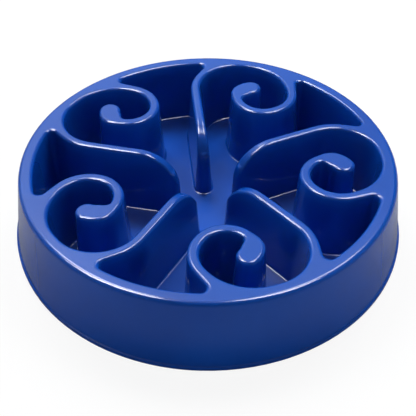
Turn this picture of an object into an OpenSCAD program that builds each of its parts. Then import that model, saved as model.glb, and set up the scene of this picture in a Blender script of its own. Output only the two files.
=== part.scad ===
// Slow feeder bowl: a drafted shell with five curled ridges and five wave ridges
// standing in one round food well. Millimetres, +Z up, origin on the table under
// the middle of the bowl. The front of the bowl looks along -Y.

/* [Bowl] */
// Diameter across the bottom edge
bowl_d = 300; // [270:5:330]
// Height from the table to the rim
bowl_h = 58; // [50:1:70]
// Diameter across the outside of the rim
rim_d = 282; // [264:2:288]
// Width of the flat rim, from its outside to the food well
rim_w = 10.5; // [9:0.5:16]
// Thickness of the moulded walls
wall = 2.8; // [2.2:0.1:3.4]
// Rounding of the rim's outer edge
rim_round = 3.5; // [2:0.5:5]
// Rounding of the ridges and of the rim's inner edge
edge_round = 2; // [1:0.25:2]
// Slope of the well's walls, in degrees
draft = 3.75; // [2:0.25:5]
// Height of the bead round the bottom edge
bead_h = 2.4; // [1.5:0.1:4]
// How far the bead stands out from the outer wall
bead_out = 0.7; // [0.4:0.1:1.2]

/* [Curls] */
// Width of a curl at its top
curl_w = 7.8; // [7:0.2:9]
// Width of the round end of a curl
curl_end_w = 16.5; // [14:0.5:19]
// Length over which a curl swells to its round end
curl_swell = 14; // [10:1:20]
// Radius that leads the rim into the inner side of a curl
curl_sweep_r = 38; // [32:1:44]

/* [Waves] */
// Width of a wave at its top
wave_w = 7.2; // [7:0.2:9]
// Radius that leads the rim into the inner side of a wave
wave_sweep_r = 32; // [28:1:38]
// Radius of a wave's nose, seen from the side
nose_r = 30; // [22:1:36]
// Radius of the well's sharp corners
corner_r = 4.5; // [3.5:0.5:7]

/* [Floor and feet] */
// Thickness of the well's floor
floor_t = 2.8; // [2:0.1:3.4]
// Height of the floor's underside above the table
floor_lift = 2; // [1.5:0.1:3]
// Height of the bottom edge above the table
stand = 0.8; // [0.4:0.1:1.4]
// Diameter of a rubber foot
foot_d = 15; // [10:1:18]
// Depth of the recess that holds a foot
foot_sink = 1; // [0.6:0.1:1.4]
// Play round a foot in its recess
foot_play = 0.15; // [0.1:0.05:0.3]
// Rounding of a foot's lower edge
foot_round = 0.8; // [0.4:0.1:1]
// Width of the hollow under a foot
foot_dish_d = 9; // [5:1:9]
// Depth of the hollow under a foot
foot_dish = 0.7; // [0.4:0.1:1]

/* [Hidden] */

// Five equal units stand round the bowl, the first one at the front
unit_turn = 72;
// Legs of a ridge's middle line: share of the well's radius, then degrees turned to the left
curl_leg_shares = [[0.178, 0], [0.259, -75], [0.238, -85], [0.189, -95]];
wave_leg_shares = [[0.151, 0], [0.162, 34], [0.502, 2]];
// Where a middle line leaves the well's edge, and where it heads, in degrees
curl_root_angle = -84.5;
curl_heading = 127;
wave_root_angle = -53.5;
wave_heading = 99;
// Share of the well's radius that the facing sweeps of a curl and a wave find between their roots
sweep_room_share = 0.56;
// Place of a foot under the wide part of each unit, as a share of the well's radius and an angle
foot_reach_share = 0.821;
foot_angle = -58.5;
// Least gap underneath, between the well and the foot of the outer wall
under_gap = 6;
// Smallest radius that a corner of the well keeps at the floor
corner_least = 1.5;
// Lip left over each gate between the hollow of a ridge and the hollow under the rim
gate_lip = 0.6;
// One overrun for all cuts
over = 1;
// Steps of each round stretch
curl_steps = 18;
wave_steps = 12;
lead_steps = 2;
sweep_steps = 5;
end_steps = 8;
edge_steps = 3;
root_steps = 4;
rim_steps = 8;
arc_steps = 5;
// Pairs of points, counted from the root, at which a ridge is parted face to face into its lengths
curl_cuts = [3, 9, 15, 20];
wave_cuts = [3, 10];
$fn = 96;

rim_r = rim_d / 2;
skirt_r = bowl_d / 2 - bead_out;
floor_top = floor_lift + floor_t;
// Run of the draft from the rim down to the floor
floor_grow = grow_at(floor_top);
// The well stays inside the rim and inside the foot of the outer wall
well_r = min(rim_r - rim_w, skirt_r - 2 * wall - under_gap + floor_grow);
// Facing sweeps never reach past each other along the well's edge
sweep_fit = min(1, sweep_room_share * well_r / (curl_sweep_r + wave_sweep_r));
bead_top = stand + bead_h;
plastic = "#2f5cb4";
rubber = "#2b2d31";

function run(a) = [cos(a), sin(a)];
function left_of(v) = [-v[1], v[0]];
function mix(a, b, t) = a + (b - a) * t;
function ease(t) = let(u = min(max(t, 0), 1)) u * u * (3 - 2 * u);
function angle_of(p) = atan2(p[1], p[0]);
// Shortest way from one angle to another
function swing(a, b) = (b - a + 540) % 360 - 180;
function sum(v, k = 0) = k == len(v) ? 0 : v[k] + sum(v, k + 1);
// How far a drafted wall has moved into the well at height z
function grow_at(z) = (bowl_h - z) * tan(draft);

// A ridge holds: root angle, heading, legs in mm, half width, half width of the
// end, length of the swell, sweep radius on the left, the same on the right,
// nose radius or 0, steps along the middle line, and the pairs where it is parted
curl = [curl_root_angle, curl_heading, [for (leg = curl_leg_shares) [leg[0] * well_r, leg[1]]],
    curl_w / 2, curl_end_w / 2, curl_swell, corner_r, sweep_fit * curl_sweep_r, 0, curl_steps, curl_cuts];
wave = [wave_root_angle, wave_heading, [for (leg = wave_leg_shares) [leg[0] * well_r, leg[1]]],
    wave_w / 2, wave_w / 2, curl_swell, sweep_fit * wave_sweep_r, corner_r, nose_r, wave_steps, wave_cuts];

function root_point(ridge) = well_r * run(ridge[0]);
function ridge_length(ridge) = sum([for (leg = ridge[2]) leg[0]]);
// Place and heading after a distance along one leg
function on_leg(p, h, leg, s) =
    leg[1] == 0 ? [p[0] + s * cos(h), p[1] + s * sin(h), h]
    : let(t = leg[1] * s / leg[0], r = leg[0] * 180 / (leg[1] * PI))
        [p[0] + r * (sin(h + t) - sin(h)), p[1] + r * (cos(h) - cos(h + t)), h + t];
// Place and heading after a distance along the whole middle line
function on_line(legs, p, h, s, k = 0) =
    k == len(legs) - 1 || s <= legs[k][0] ? on_leg(p, h, legs[k], s)
    : let(e = on_leg(p, h, legs[k], legs[k][0]))
        on_line(legs, [e[0], e[1]], e[2], s - legs[k][0], k + 1);
function station(ridge, s) = on_line(ridge[2], root_point(ridge), ridge[1], s);
// Half width at a distance along the middle line
function half_at(ridge, s) =
    let(start = ridge_length(ridge) - ridge[4] - ridge[5])
        mix(ridge[3], ridge[4], ease((s - start) / ridge[5]));

// Sweep between the well's round edge and the straight root of one side:
// centre, radius, distance along the middle line, side (1 left, -1 right)
function sweep(ridge, side, grow) =
    let(
        r = max((side > 0 ? ridge[6] : ridge[7]) - grow, corner_least),
        u = run(ridge[1]),
        q = root_point(ridge) + side * left_of(u) * (ridge[3] + grow + r),
        b = q * u,
        t = -b - sqrt(b * b - q * q + pow(well_r - grow - r, 2))
    ) [q + t * u, r, t, side];
// Angle by which a sweep that is skin wider starts later, at the same edge
function late(c, r, skin, edge) =
    let(m = norm(c)) acos((edge * edge - pow(r + skin, 2) - m * m) / (2 * (r + skin) * m));
function sweep_points(ridge, sw, grow, skin) =
    let(
        a0 = angle_of(sw[0]),
        a1 = ridge[1] - sw[3] * 90,
        way = swing(a0, a1),
        start = a0 + sign(way) * (skin > 0 ? late(sw[0], sw[1], skin, well_r - grow) : 0)
    ) [for (k = [0:sweep_steps]) sw[0] + (sw[1] + skin) * run(start + swing(start, a1) * k / sweep_steps)];
// Distance along the middle line from which both sides of a ridge are straight or follow it
function clear_of_roots(ridge) =
    max(ridge[2][0][0], sweep(ridge, 1, floor_grow)[2], sweep(ridge, -1, floor_grow)[2]) + edge_round;
function side_point(ridge, side, s, out) =
    let(p = station(ridge, s)) [p[0], p[1]] + side * left_of(run(p[2])) * (half_at(ridge, s) + out);
function side_points(ridge, sw, grow, skin) =
    let(start = clear_of_roots(ridge))
        concat(
            [for (k = [1:lead_steps])
                side_point(ridge, sw[3], mix(sw[2], start, k / lead_steps), grow - skin)],
            [for (k = [1:ridge[9]])
                side_point(ridge, sw[3], mix(start, ridge_length(ridge), k / ridge[9]), grow - skin)]
        );
function end_points(ridge, grow, skin) =
    let(p = station(ridge, ridge_length(ridge)))
        [for (k = [1:end_steps])
            [p[0], p[1]] + (ridge[4] + grow - skin) * run(p[2] + 90 - 180 * k / (end_steps + 1))];
function reversed(v) = [for (k = [len(v) - 1:-1:0]) v[k]];
// Plan of one ridge from its left root round its end to its right root
function plan(ridge, grow, skin = 0) =
    let(left = sweep(ridge, 1, grow), right = sweep(ridge, -1, grow))
        concat(
            sweep_points(ridge, left, grow, skin), side_points(ridge, left, grow, skin),
            end_points(ridge, grow, skin),
            reversed(side_points(ridge, right, grow, skin)),
            reversed(sweep_points(ridge, right, grow, skin))
        );

// Height of the ridge's top over a place in plan, with the nose falling away
function top_at(ridge, p) =
    ridge[8] == 0 ? bowl_h
    : let(
        e = station(ridge, ridge_length(ridge)),
        a = (p - [e[0], e[1]]) * run(e[2]) - ridge[4] + ridge[8]
    ) a <= 0 ? bowl_h : bowl_h - ridge[8] + sqrt(max(pow(ridge[8], 2) - a * a, 0));

// One level of a ridge: its plan, each point at drop below the local top and
// pulled in by inset
function level(ridge, drop, inset, skin) =
    let(flat = plan(ridge, grow_at(bowl_h - drop) - inset, skin))
        ridge[8] == 0 ? [for (p = flat) [p[0], p[1], bowl_h - drop]]
        : let(
            first = plan(ridge, -inset, skin),
            z = [for (p = first) top_at(ridge, p) - drop],
            low = plan(ridge, grow_at(bowl_h - drop - ridge[8]) - inset, skin)
        ) [for (k = [0:len(flat) - 1])
            let(t = (bowl_h - drop - z[k]) / ridge[8], p = mix(flat[k], low[k], t)) [p[0], p[1], z[k]]];
function flat_level(ridge, z, grow, skin) = [for (p = plan(ridge, grow, skin)) [p[0], p[1], z]];
// Points along the well's edge that close a level, from the right root to the left one
function root_arc(edge, z, from, to) =
    [for (k = [0:root_steps]) let(p = edge * run(mix(from, to, k / root_steps))) [p[0], p[1], z]];

// The stretch of a plan between two of its pairs of points, left side first
function stretch(v, a, b) =
    concat([for (k = [a:b]) v[k]], [for (k = [len(v) - 1 - b:len(v) - 1 - a]) v[k]]);
// First and last pair of points of one length of a ridge
function pairs(ridge, part) =
    let(
        steps = sweep_steps + lead_steps + ridge[9] + end_steps / 2,
        cuts = concat([0], ridge[10], [steps])
    ) [cuts[part], cuts[part + 1]];

// One length of a hollow ridge as a closed skin: outside levels and inside levels, open below
// and at its root. Part 0 stands at the rim, and the last part holds the round end.
module ridge_part(ridge, part) {
    under = wall;
    a = pairs(ridge, part)[0];
    b = pairs(ridge, part)[1];
    at_root = part == 0;
    at_end = part == len(ridge[10]);
    inner_full = [
        flat_level(ridge, floor_lift, floor_grow, wall),
        flat_level(ridge, floor_top, floor_grow, wall),
        level(ridge, under, 0, wall)
    ];
    inner = [for (v = inner_full) stretch(v, a, b)];
    ends = [for (v = inner_full) [angle_of(v[len(v) - 1]), angle_of(v[0])]];
    function outside(v, edge, z, turns) =
        concat(stretch(v, a, b), at_root ? root_arc(edge, z, turns[0], turns[1]) : []);
    outer = concat(
        [
            outside(flat_level(ridge, floor_lift, floor_grow, 0), well_r - floor_grow, floor_lift, ends[0]),
            outside(flat_level(ridge, floor_top, floor_grow, 0), well_r - floor_grow, floor_top, ends[1]),
            outside(level(ridge, under, 0, 0), well_r - grow_at(bowl_h - under), bowl_h - under, ends[2])
        ],
        [for (k = [0:edge_steps])
            let(
                turn = 90 * k / edge_steps,
                drop = edge_round * (1 - sin(turn)),
                inset = edge_round * (1 - cos(turn))
            )
            outside(level(ridge, drop, inset, 0), well_r - grow_at(bowl_h - drop) + inset,
                bowl_h - drop, ends[2])]
    );
    n = len(inner[0]);
    half = n / 2;
    ring = len(outer[0]);
    last = len(outer) - 1;
    roof = len(inner) - 1;
    base = ring * len(outer);
    points = concat([for (v = outer) each v], [for (v = inner) each v]);
    // At the root, the ends of an inside level are the ends of its root arc
    function out(l, k) = l * ring + k % ring;
    function in(l, k) =
        at_root && k == 0 ? out(l, ring - 1) : at_root && k == n - 1 ? out(l, n) : base + l * n + k;
    function split(a, b, c, d) = [[a, b, c], [a, c, d]];
    // Face between two lengths, with the left column of points and the right one
    function parting(l, r) = concat(
        [for (k = [0:roof - 1]) each split(out(k, l), out(k + 1, l), in(k + 1, l), in(k, l))],
        [for (k = [0:roof - 1]) each split(out(k + 1, r), out(k, r), in(k, r), in(k + 1, r))],
        let(fan = [out(roof + 1, l), out(roof + 1, r), out(roof, r), in(roof, r), in(roof, l), out(roof, l)])
            [for (k = [1:len(fan) - 2]) [fan[0], fan[k], fan[k + 1]]],
        [for (k = [roof + 1:last - 1]) each split(out(k, l), out(k + 1, l), out(k + 1, r), out(k, r))]
    );
    // Steps round the walls, without the jump from side to side where the ridge goes on
    steps = [for (k = [0:n - 2]) if (at_end || k != half - 1) k];
    faces = concat(
        [for (l = [0:last - 1], k = steps)
            each split(out(l, k), out(l, k + 1), out(l + 1, k + 1), out(l + 1, k))],
        [for (l = [0:roof - 1], k = steps)
            each split(in(l, k), in(l + 1, k), in(l + 1, k + 1), in(l, k + 1))],
        at_root ? [[for (k = [0:ring - 1]) out(last, k)]]
        : [for (k = [0:half - 2])
            each split(out(last, k), out(last, k + 1), out(last, n - 2 - k), out(last, n - 1 - k))],
        at_root ? [concat([for (k = [n - 1:-1:0]) in(roof, k)], [for (k = [ring - 2:-1:n + 1]) out(roof, k)])]
        : [for (k = [0:half - 2])
            each split(in(roof, k), in(roof, n - 1 - k), in(roof, n - 2 - k), in(roof, k + 1))],
        [for (k = steps) each split(out(0, k), in(0, k), in(0, k + 1), out(0, k + 1))],
        at_root ? [for (l = [0:last - 1], k = [n - 1:ring - 1])
            if (l >= roof || k == n - 1 || k == ring - 1)
                each split(out(l, k), out(l, k + 1), out(l + 1, k + 1), out(l + 1, k))]
        : parting(0, n - 1),
        at_end ? [] : [for (face = parting(half - 1, half)) reversed(face)]
    );
    polyhedron(points = points, faces = faces, convexity = 12);
}
// Cross-section of the rim and the outer wall, to be turned round the bowl's axis
module rim_section() {
    c = [rim_r - rim_round, bowl_h - rim_round];
    b = [skirt_r, stand];
    reach = norm(c - b);
    lean = angle_of(c - b) - asin(rim_round / reach);
    inner_lean = wall / sin(lean);
    slope = (skirt_r - rim_r) / (bowl_h - stand);
    rim_under = bowl_h - wall;
    polygon(concat(
        [[skirt_r - inner_lean, stand], [bowl_d / 2, stand], [bowl_d / 2, bead_top - bead_out]],
        [[skirt_r - slope * (bead_top - stand), bead_top]],
        [for (k = [0:rim_steps]) c + rim_round * run(mix(lean - 90, 90, k / rim_steps))],
        [for (k = [edge_steps:-1:0])
            let(a = 90 * k / edge_steps, z = bowl_h - edge_round * (1 - sin(a)))
                [well_r - grow_at(z) + edge_round * (1 - cos(a)), z]],
        [[well_r - floor_grow, floor_top], [well_r - floor_grow, floor_lift]],
        [[well_r - floor_grow + wall, floor_lift], [well_r - floor_grow + wall, floor_top]],
        [[well_r - grow_at(rim_under) + wall, rim_under]],
        [[skirt_r - inner_lean - (rim_under - stand) / tan(180 - lean), rim_under]]
    ));
}

// Opening that carries the hollow of a ridge on into the hollow under the rim
module root_gate(ridge) {
    low = ridge[3] + floor_grow - wall;
    gate_top = bowl_h - wall - gate_lip;
    high = ridge[3] + grow_at(gate_top) - wall;
    translate(root_point(ridge))
        rotate([90, 0, ridge[1] - 90])
            translate([0, 0, -floor_grow - 2 * over])
                linear_extrude(height = floor_grow + 2 * (wall + over))
                    polygon([[-low, floor_lift - over], [low, floor_lift - over],
                        [high, gate_top], [-high, gate_top]]);
}

module rim_wall() {
    color(plastic)
        difference() {
            rotate_extrude()
                rim_section();
            for (k = [0:4], ridge = [curl, wave])
                rotate([0, 0, k * unit_turn])
                    root_gate(ridge);
        }
}

// Points along the well's edge between two roots, without its ends
function edge_arc(r, from, to) =
    [for (k = [1:arc_steps - 1]) r * run(from + swing(from, to) * k / arc_steps)];
// Outline of the floor in one unit, at the foot of the walls
function floor_unit() =
    let(
        r = well_r - floor_grow,
        a = plan(curl, floor_grow),
        b = plan(wave, floor_grow),
        next = angle_of(a[0]) + unit_turn
    ) concat(a, edge_arc(r, angle_of(a[len(a) - 1]), angle_of(b[0])),
        b, edge_arc(r, angle_of(b[len(b) - 1]), next));
function turned(p, a) = [p[0] * cos(a) - p[1] * sin(a), p[0] * sin(a) + p[1] * cos(a)];

module foot_place(k) {
    rotate([0, 0, foot_angle + k * unit_turn])
        translate([well_r * foot_reach_share, 0, 0])
            children();
}

module well_floor() {
    unit = floor_unit();
    color(plastic)
        difference() {
            translate([0, 0, floor_lift])
                linear_extrude(height = floor_t)
                    polygon([for (k = [0:4], p = unit) turned(p, k * unit_turn)]);
            for (k = [0:4])
                foot_place(k)
                    translate([0, 0, floor_lift - over])
                        cylinder(d = foot_d + 2 * foot_play, h = foot_sink + over);
        }
}

module curl_part(part, k) {
    color(plastic)
        rotate([0, 0, k * unit_turn])
            ridge_part(curl, part);
}

module wave_part(part, k) {
    color(plastic)
        rotate([0, 0, k * unit_turn])
            ridge_part(wave, part);
}

// Rubber foot: a disc with a rounded lower edge and a shallow gripping hollow
module foot(k) {
    color(rubber)
        foot_place(k)
            rotate_extrude()
                polygon(concat(
                    [[0, foot_dish], [foot_dish_d / 2 - foot_dish, foot_dish], [foot_dish_d / 2, 0]],
                    [for (s = [0:edge_steps])
                        [foot_d / 2 - foot_round, foot_round]
                            + foot_round * run(-90 + 90 * s / edge_steps)],
                    [[foot_d / 2, floor_lift + foot_sink], [0, floor_lift + foot_sink]]
                ));
}

rim_wall();
well_floor();
curl_part(0, 0);  // curl_root_front
curl_part(0, 1);  // curl_root_right
curl_part(0, 2);  // curl_root_back_right
curl_part(0, 3);  // curl_root_back_left
curl_part(0, 4);  // curl_root_left
curl_part(1, 0);  // curl_neck_front
curl_part(1, 1);  // curl_neck_right
curl_part(1, 2);  // curl_neck_back_right
curl_part(1, 3);  // curl_neck_back_left
curl_part(1, 4);  // curl_neck_left
curl_part(2, 0);  // curl_bow_front
curl_part(2, 1);  // curl_bow_right
curl_part(2, 2);  // curl_bow_back_right
curl_part(2, 3);  // curl_bow_back_left
curl_part(2, 4);  // curl_bow_left
curl_part(3, 0);  // curl_hook_front
curl_part(3, 1);  // curl_hook_right
curl_part(3, 2);  // curl_hook_back_right
curl_part(3, 3);  // curl_hook_back_left
curl_part(3, 4);  // curl_hook_left
curl_part(4, 0);  // curl_end_front
curl_part(4, 1);  // curl_end_right
curl_part(4, 2);  // curl_end_back_right
curl_part(4, 3);  // curl_end_back_left
curl_part(4, 4);  // curl_end_left
wave_part(0, 0);  // wave_root_front
wave_part(0, 1);  // wave_root_right
wave_part(0, 2);  // wave_root_back_right
wave_part(0, 3);  // wave_root_back_left
wave_part(0, 4);  // wave_root_left
wave_part(1, 0);  // wave_neck_front
wave_part(1, 1);  // wave_neck_right
wave_part(1, 2);  // wave_neck_back_right
wave_part(1, 3);  // wave_neck_back_left
wave_part(1, 4);  // wave_neck_left
wave_part(2, 0);  // wave_nose_front
wave_part(2, 1);  // wave_nose_right
wave_part(2, 2);  // wave_nose_back_right
wave_part(2, 3);  // wave_nose_back_left
wave_part(2, 4);  // wave_nose_left
foot(0);  // foot_front
foot(1);  // foot_right
foot(2);  // foot_back_right
foot(3);  // foot_back_left
foot(4);  // foot_left
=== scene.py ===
import math
import bmesh
import bpy
from mathutils import Matrix, Vector
from mathutils.geometry import delaunay_2d_cdt


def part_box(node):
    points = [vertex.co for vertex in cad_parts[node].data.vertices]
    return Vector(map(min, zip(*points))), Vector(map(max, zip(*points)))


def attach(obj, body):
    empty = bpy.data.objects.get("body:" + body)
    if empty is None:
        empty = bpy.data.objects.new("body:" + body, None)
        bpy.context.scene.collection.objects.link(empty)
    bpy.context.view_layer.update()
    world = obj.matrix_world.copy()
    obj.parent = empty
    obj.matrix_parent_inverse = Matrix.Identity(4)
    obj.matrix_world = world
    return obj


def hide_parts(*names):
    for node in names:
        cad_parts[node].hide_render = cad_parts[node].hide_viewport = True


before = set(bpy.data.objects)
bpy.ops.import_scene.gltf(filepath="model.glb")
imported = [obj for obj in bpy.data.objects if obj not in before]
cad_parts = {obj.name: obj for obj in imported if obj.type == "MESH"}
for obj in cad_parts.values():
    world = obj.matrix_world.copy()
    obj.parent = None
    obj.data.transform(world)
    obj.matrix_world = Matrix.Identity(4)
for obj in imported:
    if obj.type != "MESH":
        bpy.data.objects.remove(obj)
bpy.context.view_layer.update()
print("frame loaded:", len(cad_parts), "nodes")

# Sizes are metres and angles degrees. The bowl stands at the origin with its front towards -Y.

rimLow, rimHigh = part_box("rim_wall")
floorLow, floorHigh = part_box("well_floor")

mould = {  # the blue moulding
    "baseRadius": rimHigh.x,
    "height": rimHigh.z,
    "stand": rimLow.z,  # clear of the table, because the feet carry the bowl
    "floorTop": floorHigh.z,
    "floorUnder": floorLow.z,
    "rimRadius": 0.141,
    "rimWidth": 0.0105,
    "wall": 0.0028,
    "rimRound": 0.0035,
    "rimFlat": 2.2,  # its turned part starts this many roundings in from the edge
    "edgeRound": 0.0024,
    "footFillet": 0.0015,
    "roofFillet": 0.001,
    "draft": 3.75,
    "leastCorner": 0.0015,
    "beadHeight": 0.0036,
    "beadOut": 0.0007,
    "beadRound": 0.00045,
    "lipRound": 0.0004,
    "support": 0.00035,  # narrow strip that keeps flat faces flat in shading
    "supportMost": 0.6,  # and the largest share it takes of a short face
}

# A ridge starts at its root on the well's edge and follows legs, each a share of the well's radius
# and the angle that it turns. half is half its width, which swells to endHalf at its end, and the
# sweeps are the roundings where its two sides run into the rim.

curl = {
    "root": -84.5,
    "heading": 127,
    "legs": [(0.178, 0), (0.259, -75), (0.238, -85), (0.189, -95)],
    "half": 0.0039,
    "endHalf": 0.00825,
    "swell": 0.014,
    "leftSweep": 0.0045,
    "rightSweep": 0.038,
    "steps": 62,
    "lengths": ["root", "neck", "bow", "hook", "end"],
}

wave = {
    "root": -53.5,
    "heading": 99,
    "legs": [(0.151, 0), (0.162, 34), (0.502, 2)],
    "half": 0.0036,
    "endHalf": 0.0036,
    "swell": 0.014,
    "leftSweep": 0.032,
    "rightSweep": 0.0045,
    "nose": 0.03,  # radius of the arc on which its top falls away
    "steps": 56,
    "lengths": ["root", "neck", "nose"],
}

detail = {  # steps of each stretch
    "sweep": 14,
    "end": 20,
    "arc": 14,
    "across": 6,
    "edge": 6,
    "wall": 6,
    "inside": 3,
    "foot": 5,
    "corner": 5,
}

places = ["front", "right", "back_right", "back_left", "left"]
unitTurn = 72
wellRadius = mould["rimRadius"] - mould["rimWidth"]
slope = math.tan(math.radians(mould["draft"]))


def unit(degrees):
    return Vector((math.cos(math.radians(degrees)), math.sin(math.radians(degrees))))


def leftOf(v):
    return Vector((-v.y, v.x))


def angleOf(p):
    return math.degrees(math.atan2(p.y, p.x))


def swing(a, b):  # shortest way from one angle to another
    return (b - a + 540) % 360 - 180


def mix(a, b, t):
    return a + (b - a) * t


def ease(t):
    u = min(max(t, 0), 1)
    return u * u * (3 - 2 * u)


def growAt(z):  # how far a drafted wall has moved into the well
    return (mould["height"] - z) * slope


def camelName(name):
    first, *rest = name.split("_")
    return first + "".join(word.capitalize() for word in rest)


# Plan of the ridges

def lineLength(ridge):
    return sum(share for share, turn in ridge["legs"]) * wellRadius


def station(ridge, s):  # place and heading on a ridge's middle line
    p = unit(ridge["root"]) * wellRadius
    heading = ridge["heading"]
    for k, (share, turn) in enumerate(ridge["legs"]):
        length = share * wellRadius
        part = s if k == len(ridge["legs"]) - 1 else min(s, length)
        if turn == 0:
            p = p + unit(heading) * part
        else:
            r = length / math.radians(turn)
            end = heading + turn * part / length
            p = p + (leftOf(unit(heading)) - leftOf(unit(end))) * r
            heading = end
        s -= part
        if s <= 0:
            break
    return p, heading


def halfAt(ridge, s):
    start = lineLength(ridge) - ridge["endHalf"] - ridge["swell"]
    return mix(ridge["half"], ridge["endHalf"], ease((s - start) / ridge["swell"]))


def sweepCircle(ridge, side, grow):  # tangent to the well's edge and to one side of the ridge
    r = max(ridge["leftSweep" if side > 0 else "rightSweep"] - grow, mould["leastCorner"])
    u = unit(ridge["heading"])
    q = unit(ridge["root"]) * wellRadius + leftOf(u) * side * (ridge["half"] + grow + r)
    b = q.dot(u)
    t = -b - math.sqrt(b * b - q.dot(q) + (wellRadius - grow - r) ** 2)
    return q + u * t, r, t


def sidePoints(ridge, side, grow, skin):
    centre, r, t = sweepCircle(ridge, side, grow)
    start = angleOf(centre)
    way = swing(start, ridge["heading"] - side * 90)
    steps = detail["sweep"]
    found = [centre + unit(start + way * k / steps) * (r + skin) for k in range(steps + 1)]
    for k in range(1, ridge["steps"] + 1):
        s = mix(t, lineLength(ridge), k / ridge["steps"])
        p, heading = station(ridge, s)
        found.append(p + leftOf(unit(heading)) * side * (halfAt(ridge, s) + grow - skin))
    return found


def ridgePlan(ridge, grow, skin):  # from the left root round the end to the right root
    p, heading = station(ridge, lineLength(ridge))
    r = ridge["endHalf"] + grow - skin
    steps = detail["end"] + 1
    end = [p + unit(heading + 90 - 180 * k / steps) * r for k in range(1, steps)]
    return sidePoints(ridge, 1, grow, skin) + end + sidePoints(ridge, -1, grow, skin)[::-1]


def edgeArc(r, a, b, steps):  # without its ends
    return [unit(a + swing(a, b) * k / steps) * r for k in range(1, steps)]


def unitPlan(grow, skin=0.0):  # one curl, one wave and the well's edge between them
    r = wellRadius - grow + skin
    a = ridgePlan(curl, grow, skin)
    b = ridgePlan(wave, grow, skin)
    between = edgeArc(r, angleOf(a[-1]), angleOf(b[0]), detail["arc"])
    after = edgeArc(r, angleOf(b[-1]), angleOf(a[0]) + unitTurn, detail["arc"])
    return a + between + b + after


curlCount = len(ridgePlan(curl, 0, 0))
waveCount = len(ridgePlan(wave, 0, 0))
waveFirst = curlCount + detail["arc"] - 1
unitCount = waveFirst + waveCount + detail["arc"] - 1
loopCount = unitCount * len(places)
noseEnd, noseHeading = station(wave, lineLength(wave))


def topAt(k, p):  # height of the moulding's top over a place of the unit's plan
    along = (p - noseEnd).dot(unit(noseHeading)) - wave["endHalf"] + wave["nose"]
    if not waveFirst <= k < waveFirst + waveCount or along <= 0:
        return mould["height"]
    return mould["height"] - wave["nose"] + math.sqrt(max(wave["nose"] ** 2 - along ** 2, 0))


class Skirt:  # walls of one unit as a blend between two plans
    def __init__(self, skin):
        self.skin = skin
        self.reach = growAt(mould["floorTop"])
        self.top = unitPlan(0, skin)
        self.low = unitPlan(self.reach, skin)

    def at(self, k, grow):
        return mix(self.top[k], self.low[k], grow / self.reach)

    def crown(self, inset, drop):  # near the top, under the nose's curve too
        found = []
        for k in range(unitCount):
            z = topAt(k, self.at(k, -inset)) - drop
            p = self.at(k, growAt(z) - inset)
            found.append(Vector((p.x, p.y, z)))
        return found

    def between(self, crown, z, share):
        found = []
        for k in range(unitCount):
            height = mix(crown[k].z, z, share)
            p = self.at(k, growAt(height))
            found.append(Vector((p.x, p.y, height)))
        return found

    def level(self, grow, z):
        return [Vector((p.x, p.y, z)) for p in unitPlan(grow, self.skin)]


def turned(points):  # the unit's points, repeated round the bowl
    found = []
    for k in range(len(places)):
        turn = Matrix.Rotation(math.radians(k * unitTurn), 3, "Z")
        found += [turn @ p for p in points]
    return found


def quarter(steps):  # sine and cosine through a right angle
    return [(math.sin(math.radians(90 * k / steps)), math.cos(math.radians(90 * k / steps)))
            for k in range(steps + 1)]


def outerLevels():  # from the flat top down to the flat floor
    skirt = Skirt(0.0)
    r = mould["edgeRound"]
    fillet = mould["footFillet"]
    levels = [skirt.crown(r + mould["support"], 0)]
    levels += [skirt.crown(r * (1 - s), r * (1 - c)) for s, c in quarter(detail["edge"])]
    low = mould["floorTop"] + fillet
    levels += [skirt.between(levels[-1], low, k / detail["wall"]) for k in range(1, detail["wall"])]
    start = growAt(low)
    for s, c in quarter(detail["foot"]):
        levels.append(skirt.level(start + fillet * (1 - c), low - fillet * s))
    levels.append(skirt.level(start + fillet + mould["support"], mould["floorTop"]))
    return levels


def innerLevels():  # the hollow side, from under the top down to the floor's underside
    skirt = Skirt(mould["wall"])
    r = mould["roofFillet"]
    under = mould["wall"]
    levels = [skirt.crown(r + mould["support"], under)]
    levels += [skirt.crown(r * (1 - s), under + r * (1 - c)) for s, c in quarter(detail["foot"])]
    low = mould["floorUnder"] + r
    steps = detail["inside"]
    levels += [skirt.between(levels[-1], low, k / steps) for k in range(1, steps)]
    start = growAt(low)
    for s, c in quarter(detail["foot"]):
        levels.append(skirt.level(start + r * (1 - c), low - r * s))
    levels.append(skirt.level(start + r + mould["support"], mould["floorUnder"]))
    return levels


def underEdge():  # where the floor's underside meets the strip under the walls
    return [Vector((p.x, p.y, mould["floorUnder"])) for p in unitPlan(growAt(mould["floorUnder"]))]


def rounded(corners):  # outline through corners of (radius, height, rounding)
    steps = detail["corner"]
    found = [Vector(corners[0][:2])]
    for before, (x, z, r), after in zip(corners, corners[1:], corners[2:]):
        p = Vector((x, z))
        a = (Vector(before[:2]) - p).normalized()
        b = (Vector(after[:2]) - p).normalized()
        half = a.angle(b) / 2
        reach = r / math.tan(half)
        centre = p + (a + b).normalized() * r / math.sin(half)
        start = angleOf(p + a * reach - centre)
        way = swing(start, angleOf(p + b * reach - centre))
        room = min((Vector(before[:2]) - p).length, (Vector(after[:2]) - p).length) / 2 - reach
        support = min(mould["support"], room * mould["supportMost"])
        found.append(p + a * (reach + support))
        found += [centre + unit(start + way * k / steps) * r for k in range(steps + 1)]
        found.append(p + b * (reach + support))
    found.append(Vector(corners[-1][:2]))
    return found


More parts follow.
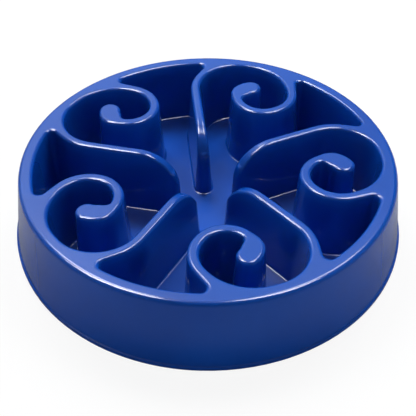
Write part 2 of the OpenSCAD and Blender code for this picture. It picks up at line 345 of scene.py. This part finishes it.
def rimProfile():  # over the outer wall, the bead and the lip to the hollow's roof
    top = mould["height"]
    roof = top - mould["wall"]
    skirtRadius = mould["baseRadius"] - mould["beadOut"]
    centre = Vector((mould["rimRadius"] - mould["rimRound"], top - mould["rimRound"]))
    corner = Vector((skirtRadius, mould["stand"]))  # where the wall meets the bottom edge
    away = centre - corner
    lean = angleOf(away) - math.degrees(math.asin(mould["rimRound"] / away.length))
    back = 1 / math.tan(math.radians(lean))
    beadTop = mould["stand"] + mould["beadHeight"]

    def wallAt(z, inside=0.0):
        return corner.x + (z - corner.y) * back - inside / math.sin(math.radians(lean))

    lip = wallAt(mould["stand"], mould["wall"])
    return rounded([
        (mould["rimRadius"] - mould["rimFlat"] * mould["rimRound"], top, 0),
        (wallAt(top), top, mould["rimRound"]),
        (wallAt(beadTop), beadTop, mould["beadRound"]),
        (mould["baseRadius"], beadTop - mould["beadOut"], mould["beadRound"]),
        (mould["baseRadius"], mould["stand"], mould["lipRound"]),
        (lip, mould["stand"], mould["lipRound"]),
        (wallAt(roof, mould["wall"]), roof, mould["roofFillet"]),
        (wallAt(roof, 2 * mould["wall"]), roof, 0),
    ])


def linked(name, data):
    made = bpy.data.objects.new(name, data)
    bpy.context.scene.collection.objects.link(made)
    return made


class Shell:  # points and faces of the whole moulding; a seam is a face hidden inside the plastic
    def __init__(self):
        self.points = []
        self.faces = []

    def add(self, points):
        first = len(self.points)
        self.points += points
        return list(range(first, len(self.points)))

    def face(self, region, ids, seam=False):
        self.faces.append((region, tuple(ids), seam))

    def strip(self, region, a, b, seam=False):
        for k in range(len(a) - 1):
            self.face(region, (a[k], a[k + 1], b[k + 1], b[k]), seam)

    def normals(self):  # smooth normals of the moulding as if it were in one piece
        bm = bmesh.new()
        made = [bm.verts.new(p) for p in self.points]
        for region, ids, seam in self.faces:
            if not seam:
                bm.faces.new([made[k] for k in ids])
        bmesh.ops.recalc_face_normals(bm, faces=bm.faces)
        bm.normal_update()
        found = [v.normal.copy() for v in made]
        bm.free()
        return found

    def piece(self, region, name, normals):
        chosen = [(ids, seam) for owner, ids, seam in self.faces if owner == region]
        bm = bmesh.new()
        made = {}
        for ids, seam in chosen:
            for k in ids:
                if k not in made:
                    made[k] = bm.verts.new(self.points[k])
        source = {v: k for k, v in made.items()}
        hidden = set()
        for ids, seam in chosen:
            f = bm.faces.new([made[k] for k in ids])
            f.smooth = True
            if seam:
                hidden.add(f)
        bmesh.ops.recalc_face_normals(bm, faces=bm.faces)
        bm.normal_update()
        split = []  # a normal for each corner of each face
        for f in bm.faces:
            for v in f.verts:
                split.append(f.normal.copy() if f in hidden else normals[source[v]])
        mesh = bpy.data.meshes.new(name)
        bm.to_mesh(mesh)
        bm.free()
        mesh.normals_split_custom_set(split)
        return linked(name, mesh)


def middle(points):
    return sum(points, Vector((0, 0))) / len(points)


def triangles(outline, holes):  # vertex numbers of a flat face with round holes
    flat = [Vector((p.x, p.y)) for p in outline]
    rings = [list(range(len(flat)))]
    for hole in holes:
        rings.append(list(range(len(flat), len(flat) + len(hole))))
        flat += [Vector((p.x, p.y)) for p in hole]
    edges = [(a, b) for ring in rings for a, b in zip(ring, ring[1:] + ring[:1])]
    insideOnly = 1
    merge = 1e-8  # points nearer than this count as one
    _, _, faces, source, _, _ = delaunay_2d_cdt(flat, edges, [rings[0]], insideOnly, merge)
    bores = []
    for ring in rings[1:]:
        across = (flat[ring[0]] - flat[ring[len(ring) // 2]]).length
        bores.append((middle([flat[k] for k in ring]), across / 2))
    found = []
    for face in faces:
        ids = [source[k][0] for k in face]
        centre = middle([flat[k] for k in ids])
        if all((centre - bore).length >= r for bore, r in bores):
            found.append(ids)
    return found


foot = {  # rubber feet, each in a recess of the floor's underside
    "radius": 0.0075,
    "play": 0.00015,  # between it and its recess
    "round": 0.0008,
    "topRound": 0.0002,
    "dishRadius": 0.0045,
    "dish": 0.0007,
    "dishRound": 0.0005,
    "sides": 64,
}


def footCentre(place):
    low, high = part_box("foot_" + place)
    return Vector(((low.x + high.x) / 2, (low.y + high.y) / 2, high.z))


def circle(centre, r, z, sides):
    turns = [unit(360 * k / sides) for k in range(sides)]
    return [Vector((centre.x + r * t.x, centre.y + r * t.y, z)) for t in turns]


def crossing(a, b, bent):  # points across a ridge, along the rim's curve where the ridge flares
    found = []
    for k in range(1, detail["across"]):
        t = k / detail["across"]
        p = mix(a, b, t)
        if bent:
            turn = unit(angleOf(a) + swing(angleOf(a), angleOf(b)) * t)
            r = mix(a.xy.length, b.xy.length, t)
            p = Vector((turn.x * r, turn.y * r, p.z))
        found.append(p)
    return found


def wallRegions():  # owner of the wall after each of a loop's points, and where each ridge lies
    region = ["rim_wall"] * loopCount
    spans = []
    for u, place in enumerate(places):
        for kind, first, count in (("curl", 0, curlCount), ("wave", waveFirst, waveCount)):
            name = kind + "_" + place
            start = u * unitCount + first
            spans.append((name, start, count))
            for k in range(start, start + count - 1):
                region[k] = name
    return region, spans


def addWalls(shell, region, outer, inner, edge):  # with their hollow side and the strip under them
    for k in range(loopCount):
        n = (k + 1) % loopCount
        for rows in (outer, inner):
            for a, b in zip(rows, rows[1:]):
                shell.face(region[k], (a[k], a[n], b[n], b[k]))
        shell.face(region[k], (inner[-1][k], inner[-1][n], edge[n], edge[k]))
        for owner in (region[k], "well_floor"):
            shell.face(owner, (outer[-1][k], outer[-1][n], edge[n], edge[k]), seam=True)


def addRidgeTops(shell, spans, outer, inner, edge):  # with the roofs of their hollows
    roots = {}
    for name, start, count in spans:
        for side, rows in (("top", outer), ("roof", inner)):
            ring = rows[0][start:start + count]
            strips = []
            for k in range(count // 2):
                a = shell.points[ring[k]]
                b = shell.points[ring[count - 1 - k]]
                line = shell.add(crossing(a, b, k <= detail["sweep"]))
                strips.append([ring[k]] + line + [ring[count - 1 - k]])
            for a, b in zip(strips, strips[1:]):
                shell.strip(name, a, b)
            roots[name, side] = strips[0][::-1]
        for owner in (name, "rim_wall"):
            shell.strip(owner, roots[name, "top"], roots[name, "roof"], seam=True)
            for k in (start, start + count - 1):
                column = [row[k] for row in outer] + [edge[k]] + [row[k] for row in inner[::-1]]
                shell.face(owner, column, seam=True)
    return roots


def addRim(shell, region, roots, outer, inner):  # turned round the axis, from the well's edge on
    rings = []
    for side, rows in (("top", outer), ("roof", inner)):
        ring = []
        for k in range(loopCount):
            if region[k] == "rim_wall" or region[k - 1] == "rim_wall":
                ring.append(rows[0][k])
            if region[k] != "rim_wall" and region[k - 1] == "rim_wall":
                ring += roots[region[k], side][-2:0:-1]
        rings.append(ring)
    profile = rimProfile()
    angles = [[angleOf(shell.points[k]) for k in ring] for ring in rings]
    rows = [rings[0]]
    for k, p in enumerate(profile):
        share = k / (len(profile) - 1)
        turns = [unit(a + swing(a, b) * share) for a, b in zip(*angles)]
        rows.append(shell.add([Vector((p.x * t.x, p.x * t.y, p.y)) for t in turns]))
    rows.append(rings[1])
    for a, b in zip(rows, rows[1:]):
        shell.strip("rim_wall", a + a[:1], b + b[:1])


def addFloor(shell, top, edge):  # with a recess under it for each foot
    for ids in triangles([shell.points[k] for k in top], []):
        shell.face("well_floor", [top[k] for k in ids])
    r = foot["radius"] + foot["play"]
    holes = []
    for place in places:
        centre = footCentre(place)
        low = shell.add(circle(centre, r, mould["floorUnder"], foot["sides"]))
        high = shell.add(circle(centre, r, centre.z, foot["sides"]))
        shell.strip("well_floor", low + low[:1], high + high[:1], seam=True)
        shell.face("well_floor", high, seam=True)
        holes.append(low)
    ids = edge + [k for hole in holes for k in hole]
    outline = [shell.points[k] for k in edge]
    for face in triangles(outline, [[shell.points[k] for k in hole] for hole in holes]):
        shell.face("well_floor", [ids[k] for k in face])


def buildShell():
    shell = Shell()
    outer = [shell.add(turned(level)) for level in outerLevels()]
    inner = [shell.add(turned(level)) for level in innerLevels()]
    edge = shell.add(turned(underEdge()))
    region, spans = wallRegions()
    addWalls(shell, region, outer, inner, edge)
    roots = addRidgeTops(shell, spans, outer, inner, edge)
    addRim(shell, region, roots, outer, inner)
    addFloor(shell, outer[-1], edge)
    return shell


def lathe(name, profile, centre, sides):  # closed solid whose profile starts and ends on the axis
    onAxis = 1e-9
    bm = bmesh.new()
    rows = []
    for p in profile:
        if p.x < onAxis:
            rows.append([bm.verts.new((centre.x, centre.y, p.y))] * sides)
        else:
            rows.append([bm.verts.new(q) for q in circle(centre, p.x, p.y, sides)])
    for a, b in zip(rows, rows[1:]):
        for k in range(sides):
            n = (k + 1) % sides
            corners = list(dict.fromkeys((a[k], a[n], b[n], b[k])))
            bm.faces.new(corners).smooth = True
    bmesh.ops.recalc_face_normals(bm, faces=bm.faces)
    mesh = bpy.data.meshes.new(name)
    bm.to_mesh(mesh)
    bm.free()
    return linked(name, mesh)


def buildFoot(place):
    centre = footCentre(place)
    profile = rounded([
        (0, foot["dish"], 0),
        (foot["dishRadius"] - foot["dish"], foot["dish"], foot["dishRound"]),
        (foot["dishRadius"], 0, foot["dishRound"]),
        (foot["radius"], 0, foot["round"]),
        (foot["radius"], centre.z, foot["topRound"]),
        (0, centre.z, 0),
    ])
    return lathe(camelName("foot_" + place), profile, centre, foot["sides"])


# Shader nodes

class Wire:  # a socket that works in Python sums
    def __init__(self, shader, socket):
        self.shader = shader
        self.socket = socket

    def out(self, name):
        return Wire(self.shader, self.socket.node.outputs[name])

    def calc(self, operation, a, b):
        return self.shader.node("ShaderNodeMath", {"operation": operation}, {0: a, 1: b})

    def __add__(self, other):
        return self.calc("ADD", self, other)

    def __radd__(self, other):
        return self.calc("ADD", other, self)

    def __sub__(self, other):
        return self.calc("SUBTRACT", self, other)

    def __rsub__(self, other):
        return self.calc("SUBTRACT", other, self)

    def __mul__(self, other):
        return self.calc("MULTIPLY", self, other)

    def __rmul__(self, other):
        return self.calc("MULTIPLY", other, self)


class Shader:
    def __init__(self, block):
        block.use_nodes = True
        self.tree = block.node_tree
        self.tree.nodes.clear()

    def node(self, kind, settings, sockets, out=0):
        made = self.tree.nodes.new(kind)
        for key, value in settings.items():
            setattr(made, key, value)
        for key, value in sockets.items():
            if isinstance(value, Wire):
                self.tree.links.new(value.socket, made.inputs[key])
            else:
                made.inputs[key].default_value = value
        return Wire(self, made.outputs[out] if made.outputs else None)

    def noise(self, place, scale, steps=3.0, roughness=0.5):
        return self.node("ShaderNodeTexNoise", {}, {
            "Vector": place, "Scale": scale, "Detail": steps, "Roughness": roughness}, "Fac")

    def ramp(self, value, low, high):  # 0 under low, 1 over high
        return self.node("ShaderNodeMapRange", {"interpolation_type": "SMOOTHSTEP"}, {
            "Value": value, "From Min": low, "From Max": high}, "Result")

    def blend(self, factor, a, b):
        return self.node("ShaderNodeMix", {"data_type": "RGBA"}, {
            "Factor": factor, 6: a, 7: b}, 2)


plastic = {  # glossy blue moulding; a span is where a soft step starts and where it ends
    "deep": (0.001, 0.057, 0.355, 1),
    "light": (0.0018, 0.068, 0.4, 1),
    "shadeScale": 11,  # cloudy change from the one blue to the other
    "shadeSpan": (0.35, 0.65),
    "roughness": 0.24,
    "cloudScale": 75,  # slight unevenness of the gloss
    "cloudDepth": 0.05,
    "specular": 0.2,
    "coat": 0.85,
    "coatRoughness": 0.11,
    "levelSpan": (0.85, 0.99),  # how much a face looks up where it counts as level
    "dullBelow": 0.0062,  # the floor of the well, under this height, has less gloss
    "dullFade": 0.003,
    "floorDulled": 0.75,
    "floorRougher": 0.1,
    "waveScale": 34,  # faint waviness of a moulded wall
    "waveDepth": 0.00003,
    "peelScale": 620,
    "peelDepth": 0.0000014,
    "scuffScale": 260,  # fine scratches in patches on the level faces
    "scuffTurn": 0.6,
    "scuffStretch": 9,
    "scuffSpan": (0.62, 0.74),
    "scuffRougher": 0.1,
    "scuffRise": 0.4,
    "patchScale": 21,
    "patchSpan": (0.45, 0.7),
}


def bluePlastic():
    material = bpy.data.materials.new("glossyBluePlastic")
    s = Shader(material)
    place = s.node("ShaderNodeTexCoord", {}, {}, "Object")
    shades = s.ramp(s.noise(place, plastic["shadeScale"], steps=2.0), *plastic["shadeSpan"])
    colour = s.blend(shades, plastic["deep"], plastic["light"])
    stretched = s.node("ShaderNodeMapping", {}, {
        "Vector": place, "Rotation": (0, 0, plastic["scuffTurn"]),
        "Scale": (1, plastic["scuffStretch"], 1)})
    lines = s.noise(stretched, plastic["scuffScale"], steps=4.0, roughness=0.7)
    scuffs = s.ramp(lines, *plastic["scuffSpan"])
    patches = s.ramp(s.noise(place, plastic["patchScale"], steps=2.0), *plastic["patchSpan"])
    upward = s.node("ShaderNodeSeparateXYZ", {}, {
        "Vector": s.node("ShaderNodeNewGeometry", {}, {}, "Normal")}, "Z")
    level = s.ramp(upward, *plastic["levelSpan"])
    worn = scuffs * patches * level
    height = s.node("ShaderNodeSeparateXYZ", {}, {"Vector": place}, "Z")
    dullEnd = plastic["dullBelow"] + plastic["dullFade"]
    licked = level * (1 - s.ramp(height, plastic["dullBelow"], dullEnd))
    cloud = s.noise(place, plastic["cloudScale"])
    uneven = (cloud - 0.5) * plastic["cloudDepth"]
    rougher = worn * plastic["scuffRougher"] + licked * plastic["floorRougher"]
    swell = s.node("ShaderNodeBump", {}, {
        "Strength": 1.0, "Distance": plastic["waveDepth"],
        "Height": s.noise(place, plastic["waveScale"], steps=1.0)})
    peel = s.node("ShaderNodeBump", {}, {
        "Strength": 1.0, "Distance": plastic["peelDepth"],
        "Height": s.noise(place, plastic["peelScale"], steps=2.0) + worn * plastic["scuffRise"],
        "Normal": swell})
    surface = s.node("ShaderNodeBsdfPrincipled", {}, {
        "Base Color": colour, "Normal": peel,
        "Roughness": plastic["roughness"] + uneven + rougher,
        "Specular IOR Level": plastic["specular"],
        "Coat Weight": plastic["coat"] - licked * plastic["floorDulled"],
        "Coat Roughness": plastic["coatRoughness"]})
    s.node("ShaderNodeOutputMaterial", {}, {"Surface": surface})
    return material


rubber = {
    "dark": (0.014, 0.015, 0.017, 1),
    "worn": (0.034, 0.035, 0.038, 1),
    "roughness": 0.62,
    "specular": 0.4,
    "dustScale": 180,
    "dustSpan": (0.4, 0.75),
    "dustRougher": 0.2,
    "grainScale": 2600,
    "grainDepth": 0.00008,
    "grainStrength": 0.5,
}


def footRubber():
    material = bpy.data.materials.new("footRubber")
    s = Shader(material)
    place = s.node("ShaderNodeTexCoord", {}, {}, "Object")
    specks = s.noise(place, rubber["dustScale"], steps=4.0, roughness=0.65)
    dust = s.ramp(specks, *rubber["dustSpan"])
    colour = s.blend(dust, rubber["dark"], rubber["worn"])
    grain = s.node("ShaderNodeBump", {}, {
        "Strength": rubber["grainStrength"], "Distance": rubber["grainDepth"],
        "Height": s.noise(place, rubber["grainScale"])})
    surface = s.node("ShaderNodeBsdfPrincipled", {}, {
        "Base Color": colour, "Roughness": rubber["roughness"] + dust * rubber["dustRougher"],
        "Normal": grain, "Specular IOR Level": rubber["specular"]})
    s.node("ShaderNodeOutputMaterial", {}, {"Surface": surface})
    return material


blue = bluePlastic()
black = footRubber()
print("materials made")


def dress(piece, material, slot, *nodes):
    piece.data.materials.append(material)
    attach(piece, "root")
    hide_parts(*nodes)


shell = buildShell()
normals = shell.normals()
print("moulding worked out:", len(shell.points), "points,", len(shell.faces), "faces")
for name in ("rim_wall", "well_floor"):
    dress(shell.piece(name, camelName(name), normals), blue, "blue_plastic", name)
for place in places:
    for kind, ridge in (("curl", curl), ("wave", wave)):
        nodes = [kind + "_" + length + "_" + place for length in ridge["lengths"]]
        name = kind + "_" + place
        dress(shell.piece(name, camelName(name), normals), blue, "blue_plastic", *nodes)
    dress(buildFoot(place), black, "foot_rubber", "foot_" + place)
print("pieces made")


# Floor, background, light and camera

studio = {  # a span is where a soft step starts and where it ends
    "floorSize": 6,
    "floorPale": (0.90, 0.90, 0.91, 1),  # as the camera sees it
    "floorGrey": (0.6, 0.6, 0.62, 1),  # as it lights the bowl
    "floorDeep": (0.12, 0.12, 0.13, 1),  # as the bowl mirrors it in front
    "floorPast": (0.36, 0.36, 0.38, 1),  # and further back
    "pastSpan": (-0.3, 0.15),
    "floorWhite": 0.9,  # share of plain white that the camera sees in the floor by the bowl
    "farSpan": (0.5, 1.5),  # over this distance the floor goes over into plain white
    "above": 0.13,  # glow of the room overhead
    "ahead": 0.28,  # low down in front and behind
    "aside": 3.3,  # and low down at the sides
    "lowSpan": (0.1, 0.34),
    "tint": (0.84, 0.94, 1, 1),
    "behind": 1.4,  # backdrop behind the bowl, which shows in its gloss alone
    "behindSpan": (0.15, 0.6),
    "acrossSpan": (-0.55, 0.45),
    "riseSpan": (0.2, 0.6),
    "glossShare": 0.04,  # share of the white background that shows in the gloss
}


def seenPlainly(s):  # 1 for what the camera sees, a share of it in reflections
    path = s.node("ShaderNodeLightPath", {}, {}, "Is Camera Ray")
    mirrored = path.out("Is Glossy Ray") * studio["glossShare"]
    return path + path.out("Is Transmission Ray") + mirrored


def studioFloor():
    mesh = bpy.data.meshes.new("studioFloor")
    half = studio["floorSize"] / 2
    corners = [(-half, -half, 0), (half, -half, 0), (half, half, 0), (-half, half, 0)]
    mesh.from_pydata(corners, [], [(0, 1, 2, 3)])
    material = bpy.data.materials.new("paleFloor")
    s = Shader(material)
    path = s.node("ShaderNodeLightPath", {}, {}, "Is Camera Ray")
    place = s.node("ShaderNodeTexCoord", {}, {}, "Object")
    back = s.node("ShaderNodeSeparateXYZ", {}, {"Vector": place}, "Y")
    past = s.ramp(back, *studio["pastSpan"])
    mirrored = s.blend(past, studio["floorDeep"], studio["floorPast"])
    unseen = s.blend(path.out("Is Glossy Ray"), studio["floorGrey"], mirrored)
    colour = s.blend(path, unseen, studio["floorPale"])
    matt = s.node("ShaderNodeBsdfDiffuse", {}, {"Color": colour})
    white = s.node("ShaderNodeEmission", {}, {"Color": (1, 1, 1, 1), "Strength": 1.0})
    away = s.node("ShaderNodeVectorMath", {"operation": "LENGTH"}, {0: place}, "Value")
    share = studio["floorWhite"] + s.ramp(away, *studio["farSpan"]) * (1 - studio["floorWhite"])
    s.node("ShaderNodeOutputMaterial", {}, {"Surface": s.node("ShaderNodeMixShader", {}, {
        0: path * share, 1: matt, 2: white})})
    mesh.materials.append(material)
    linked("studioFloor", mesh)


def studioWorld():
    world = bpy.data.worlds.new("studioWorld")
    bpy.context.scene.world = world
    s = Shader(world)
    ray = s.node("ShaderNodeSeparateXYZ", {}, {
        "Vector": s.node("ShaderNodeTexCoord", {}, {}, "Generated")}, "Z")
    mirrored = s.node("ShaderNodeLightPath", {}, {}, "Is Glossy Ray")
    band = (1 - s.ramp(ray, *studio["lowSpan"])) * (1 - mirrored)
    aside = ray.out("X") * ray.out("X")
    room = studio["above"] + band * (studio["ahead"] + aside * (studio["aside"] - studio["ahead"]))
    across = s.ramp(0 - ray.out("X"), *studio["acrossSpan"])
    rise = s.ramp(ray, *studio["riseSpan"])
    backdrop = s.ramp(ray.out("Y"), *studio["behindSpan"]) * across * rise
    glow = room + mirrored * (studio["behind"] * backdrop - studio["above"])
    soft = s.node("ShaderNodeBackground", {}, {"Color": studio["tint"], "Strength": glow})
    white = s.node("ShaderNodeBackground", {}, {"Color": (1, 1, 1, 1), "Strength": 1.0})
    s.node("ShaderNodeOutputWorld", {}, {"Surface": s.node("ShaderNodeMixShader", {}, {
        0: seenPlainly(s), 1: soft, 2: white})})


# Each lamp's place, width, height, watts, and whether it lights the bowl or shows in its gloss

lamps = {
    "softboxLeft": ((-0.78, 0.0, 1.68), 0.6, 0.9, 42.0, "mirrored"),
    "softboxRight": ((0.55, 0.0, 1.76), 0.6, 0.7, 24.0, "mirrored"),
    "stripLeft": ((-0.54, 0.75, 1.6), 0.4, 0.6, 11.0, "mirrored"),
    "stripRight": ((0.51, 0.72, 1.6), 0.4, 0.6, 8.0, "mirrored"),
    "keyLeft": ((-0.55, 1.1, 1.75), 0.8, 0.8, 33.0, "lit"),
    "keyRight": ((0.55, 1.1, 1.75), 0.8, 0.8, 29.0, "lit"),
}


def studioLamps():  # all point at the bowl
    for name, (place, width, height, watts, use) in lamps.items():
        light = bpy.data.lights.new(name, "AREA")
        light.shape = "RECTANGLE"
        light.size = width
        light.size_y = height
        light.energy = watts
        made = linked(name, light)
        made.location = place
        made.rotation_euler = (Vector() - Vector(place)).to_track_quat("-Z", "Y").to_euler()
        made.visible_diffuse = use == "lit"
        made.visible_glossy = use == "mirrored"


view = {  # found by fitting the photograph's outline
    "distance": 0.6345,
    "around": 2,
    "elevation": 43.78,
    "tilt": 43.26,
    "lens": 68.63,
    "sensor": 36,
}


def studioCamera():
    data = bpy.data.cameras.new("camera")
    data.lens = view["lens"]
    data.sensor_width = view["sensor"]
    made = linked("camera", data)
    rise = math.radians(view["elevation"])
    around = math.radians(view["around"])
    reach = view["distance"] * math.cos(rise)
    height = view["distance"] * math.sin(rise)
    made.location = (reach * math.sin(around), -reach * math.cos(around), height)
    made.rotation_euler = (math.radians(90 - view["tilt"]), 0, around)
    bpy.context.scene.camera = made


studioFloor()
studioWorld()
studioLamps()
studioCamera()
bpy.context.scene.view_settings.view_transform = "Standard"
print("studio made")
